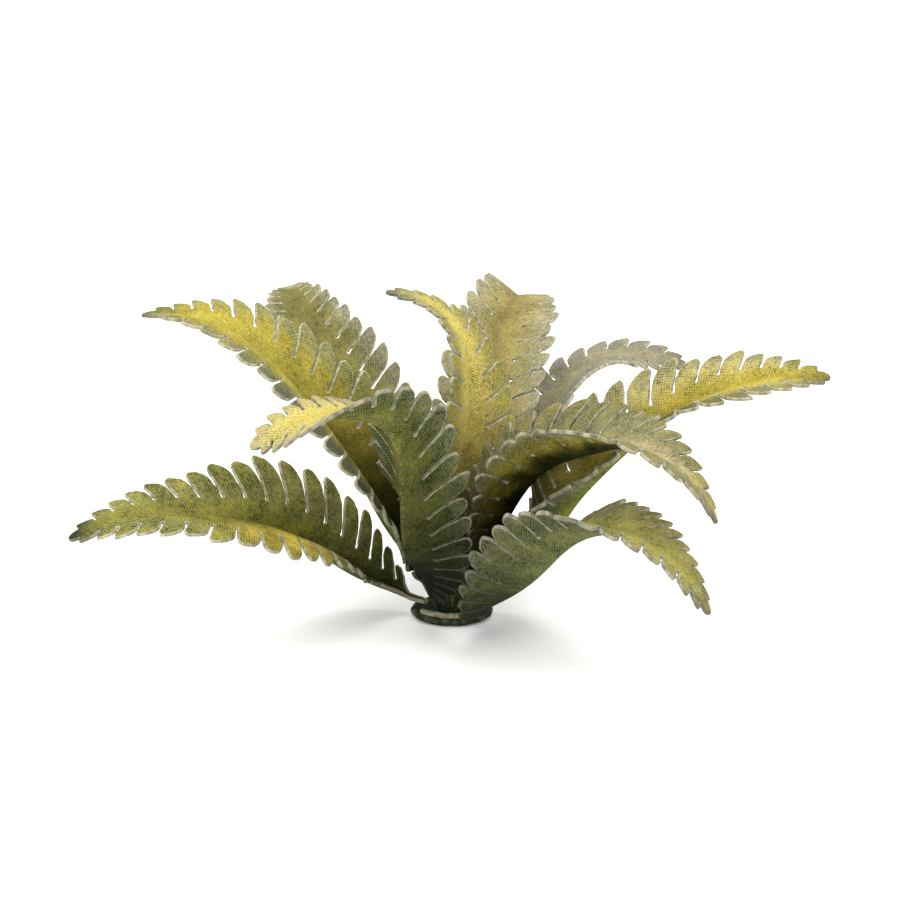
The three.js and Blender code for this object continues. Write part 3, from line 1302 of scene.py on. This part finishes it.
FRONT_UNDER = CardPrint(
    rib="5f5e31", blade="4f522a", margin="5f6146", base="0b0e07", tip="af956e",
    base_share=0.72, ink=0.8,
)
CROWN_UPPER = CardPrint(
    rib="ad9d54", blade="887f4a", margin="857d42", base="20260c", tip="62634a",
    rib_share=0.4, base_share=0.6, mottle=0.4, ink=0.6,
)
BACK_UPPER = CardPrint(
    rib="817345", blade="887d51", margin="8a846a", base="4f4f1c", tip="55533b",
    base_share=0.45, mottle=0.45, ink=0.35,
)
BACK_RIGHT_UPPER = CardPrint(
    rib="867e65", blade="7b7665", margin="837f71", base="444323", tip="6d6b57",
    mottle=0.45, ink=0.25,
)
RIGHT_UPPER = CardPrint(
    rib="97883a", blade="a39762", margin="817a55", base="293414", tip="716830",
    rib_share=0.5, base_share=0.62, mottle=0.5, ink=0.5,
    patches=(
        Patch("3b3d17", (0.65, 0.4), (0.85, 0.6), 0.8),
    ),
)
RIGHT_UNDER = CardPrint(
    rib="66682f", blade="54563f", margin="4d4e36", base="383b28", tip="66624d",
    ink=0.7,
)
FRONT_RIGHT_UPPER = CardPrint(
    rib="908563", blade="736f4e", margin="726b45", base="24240c", tip="867a4a",
    mottle=0.6, ink=0.5,
)
# The near black rib of this underside is painted shade along its midrib.
FRONT_RIGHT_UNDER = CardPrint(
    rib="24260f", blade="8e8238", margin="857b5c", base="0d0f07", tip="766c4e",
    rib_share=0.35, base_share=0.5, ink=0.7,
)
LOW_RIGHT_UPPER = CardPrint(
    rib="7b743d", blade="7f7845", margin="827b4c", base="26260f", tip="706b4a",
    mottle=0.65, ink=0.5,
)
LOW_RIGHT_UNDER = CardPrint(
    rib="575937", blade="4b4d30", margin="54533c", base="10150a", tip="716c4c",
    base_share=0.45, ink=0.8,
)
PALE_UNDER = CardPrint(
    rib="6a683d", blade="5c5d34", margin="6b6a4b", base="1c1e0f", tip="5d5c2c",
    ink=0.55,
)


def fronds() -> list[Frond]:
    """Lists the fronds, from the lowest on the left round to the lowest on the right.

    Returns:
        The fronds, not yet built.
    """
    return [
        Frond(
            "frond_low_left", Slot.GREEN, (-3, -1.5), 44, 7, 18,
            (-9, 38, 22, 10, -29), (125, 205, 230, 205, 180), (20, 40, 50, 25, 20), (75, 45, -5),
            # Lighter painted shade on this cut edge near the foot, as this frond stands out in the light.
            LOW_LEFT_UPPER, PALE_UNDER, CutEdge(shadow="6f6d58", shadow_share=0.5),
        ),
        Frond(
            "frond_high_left", Slot.YELLOW, (-1.5, 0.5), 49, 6.6, 21,
            (59, 51, 54, 42, -9), (160, 240, 220, 195, 160), (25, 75, 70, 45, 0), (40, 55, 15),
            HIGH_LEFT_UPPER, PALE_UNDER,
        ),
        Frond(
            "frond_back_left", Slot.GREEN, (-2, 3), 46, 6.2, 21,
            (52, 51, 30, -10), (110, 135, 120, 90), (-25, 10, 20, 15), (50, 30, 15),
            BACK_LEFT_UPPER, PALE_UNDER,
        ),
        Frond(
            "frond_front", Slot.GREEN, (-1.5, -2), 47, 7, 22,
            (55, 29, 76, 18, -41), (245, 260, 265, 215, 150), (70, 55, 15, -20, 65), (30, 70, 60, -15),
            FRONT_UPPER, FRONT_UNDER,
            # This cut edge is painted darker than the others', with deep painted shade near the foot.
            CutEdge(pale="8f8c74", grey="66654f", shadow="24271a", shadow_share=0.6),
        ),
        Frond(
            "frond_crown", Slot.YELLOW, (0.5, 0), 37, 5.6, 16,
            (65, 98, 83, 4), (70, 100, 145, 190), (-15, -5, 0, 5), (45, 35, -5),
            CROWN_UPPER, PALE_UNDER,
        ),
        Frond(
            "frond_back", Slot.YELLOW, (0, 2), 49, 6.2, 22,
            (58, 64, 16, -55), (60, 75, 75, 120), (-10, -15, -25, -5), (45, 35, 20),
            BACK_UPPER, PALE_UNDER,
        ),
        Frond(
            "frond_back_right", Slot.GREEN, (2, 2.5), 43, 6, 19,
            (33, 41, 27, -22), (80, 55, 50, -20), (40, 15, 15, -40), (40, 35, -10),
            BACK_RIGHT_UPPER, PALE_UNDER,
        ),
        Frond(
            "frond_right", Slot.YELLOW, (3, 0.5), 49, 6.8, 21,
            (25, 50, 47, 28, -8), (-5, -70, -15, -20, 20), (0, -45, -40, -30, -25), (65, 70, 15),
            RIGHT_UPPER, RIGHT_UNDER,
        ),
        Frond(
            "frond_front_right", Slot.GREEN, (0.5, -2), 51, 6.4, 20,
            (63, 53, 24, 12, -68), (350, 305, 300, 300, 350), (-25, -60, -20, -5, 0), (70, 70, 5),
            FRONT_RIGHT_UPPER, FRONT_RIGHT_UNDER,
            # This cut edge is painted darker than the others', with painted shade near the foot.
            CutEdge(pale="99957c", grey="6c6a54", shadow="33341f", shadow_share=0.5),
        ),
        Frond(
            "frond_low_right", Slot.GREEN, (2, -3), 46, 7.2, 20,
            (20, 31, 36, 4, -70), (295, 295, 295, 315, 335), (-40, -20, 0, 5, 0), (0, 50, -20),
            LOW_RIGHT_UPPER, LOW_RIGHT_UNDER,
            # This cut edge is painted darker than the others', with deep painted shade near the foot.
            CutEdge(pale="8f8c76", grey="626350", shadow="2b2e20", shadow_share=0.6),
        ),
    ]


def main() -> None:
    """Builds the foot, the fronds and the studio."""
    logging.basicConfig(level=logging.INFO, format="%(name)s: %(message)s")
    foot = Foot()
    pieces = [foot.build(), GluedStrip().build(foot), *(frond.build() for frond in fronds())]
    for piece in pieces:
        LOG.info("%s has %d faces", piece.name, len(piece.data.polygons))
    studio = Studio()
    studio.lay_table()
    studio.light()
    studio.set_camera()
    LOG.info("the studio is ready")


if __name__ == "__main__":
    main()
